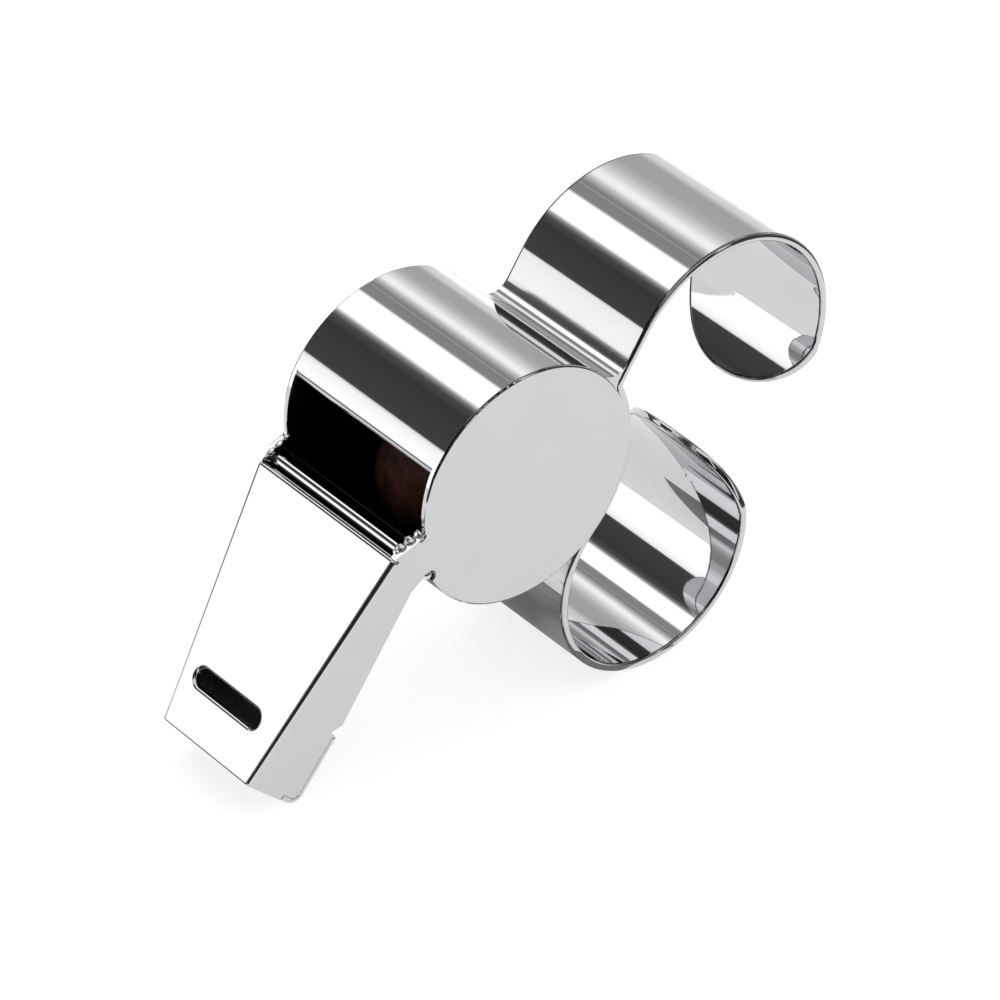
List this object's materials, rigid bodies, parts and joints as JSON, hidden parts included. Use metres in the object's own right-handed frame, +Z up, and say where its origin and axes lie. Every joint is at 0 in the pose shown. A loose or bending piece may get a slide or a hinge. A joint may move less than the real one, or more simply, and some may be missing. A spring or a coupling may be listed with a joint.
{
  "type": "finger-grip whistle",
  "caption": "Polished sheet-metal pea whistle with a round barrel, a tapering bite mouthpiece and an open ring strip that holds it on the fingers.",
  "frame": {"origin": "on the floor, under the middle of the standing whistle's bounding box", "axes": "+X from the mouthpiece to the rear finger ring, +Y along the barrel's axis from the right cheek to the left cheek, +Z up with the whistle standing on its bite lip and front finger ring"},
  "size_m": [0.0535, 0.017, 0.0365],
  "materials": {
    "cheek_steel": "mirror polished plating",
    "body_steel": "mirror polished plating",
    "grip_steel": "mirror polished plating",
    "solder": "bright, lumpy",
    "cork": "matte cork"
  },
  "bodies": {
    "whistle": {"right_cheek": "cheek_steel", "left_cheek": "cheek_steel", "barrel_band": "body_steel", "mouthpiece_top": "body_steel", "mouthpiece_floor": "body_steel", "duct_plate": "body_steel", "bite_plate": "body_steel", "finger_grip": "grip_steel", "grip_solder": "solder", "neck_solder": "solder", "relief_solder": "solder"},
    "pea": {"pea": "cork"}
  },
  "joints": [
    {"name": "pea_orbit", "type": "hinge", "parent": "whistle", "child": "pea", "pos_m": [-0.00347, 0, 0.02291], "axis": [0, 1, 0], "continuous": true}
  ]
}
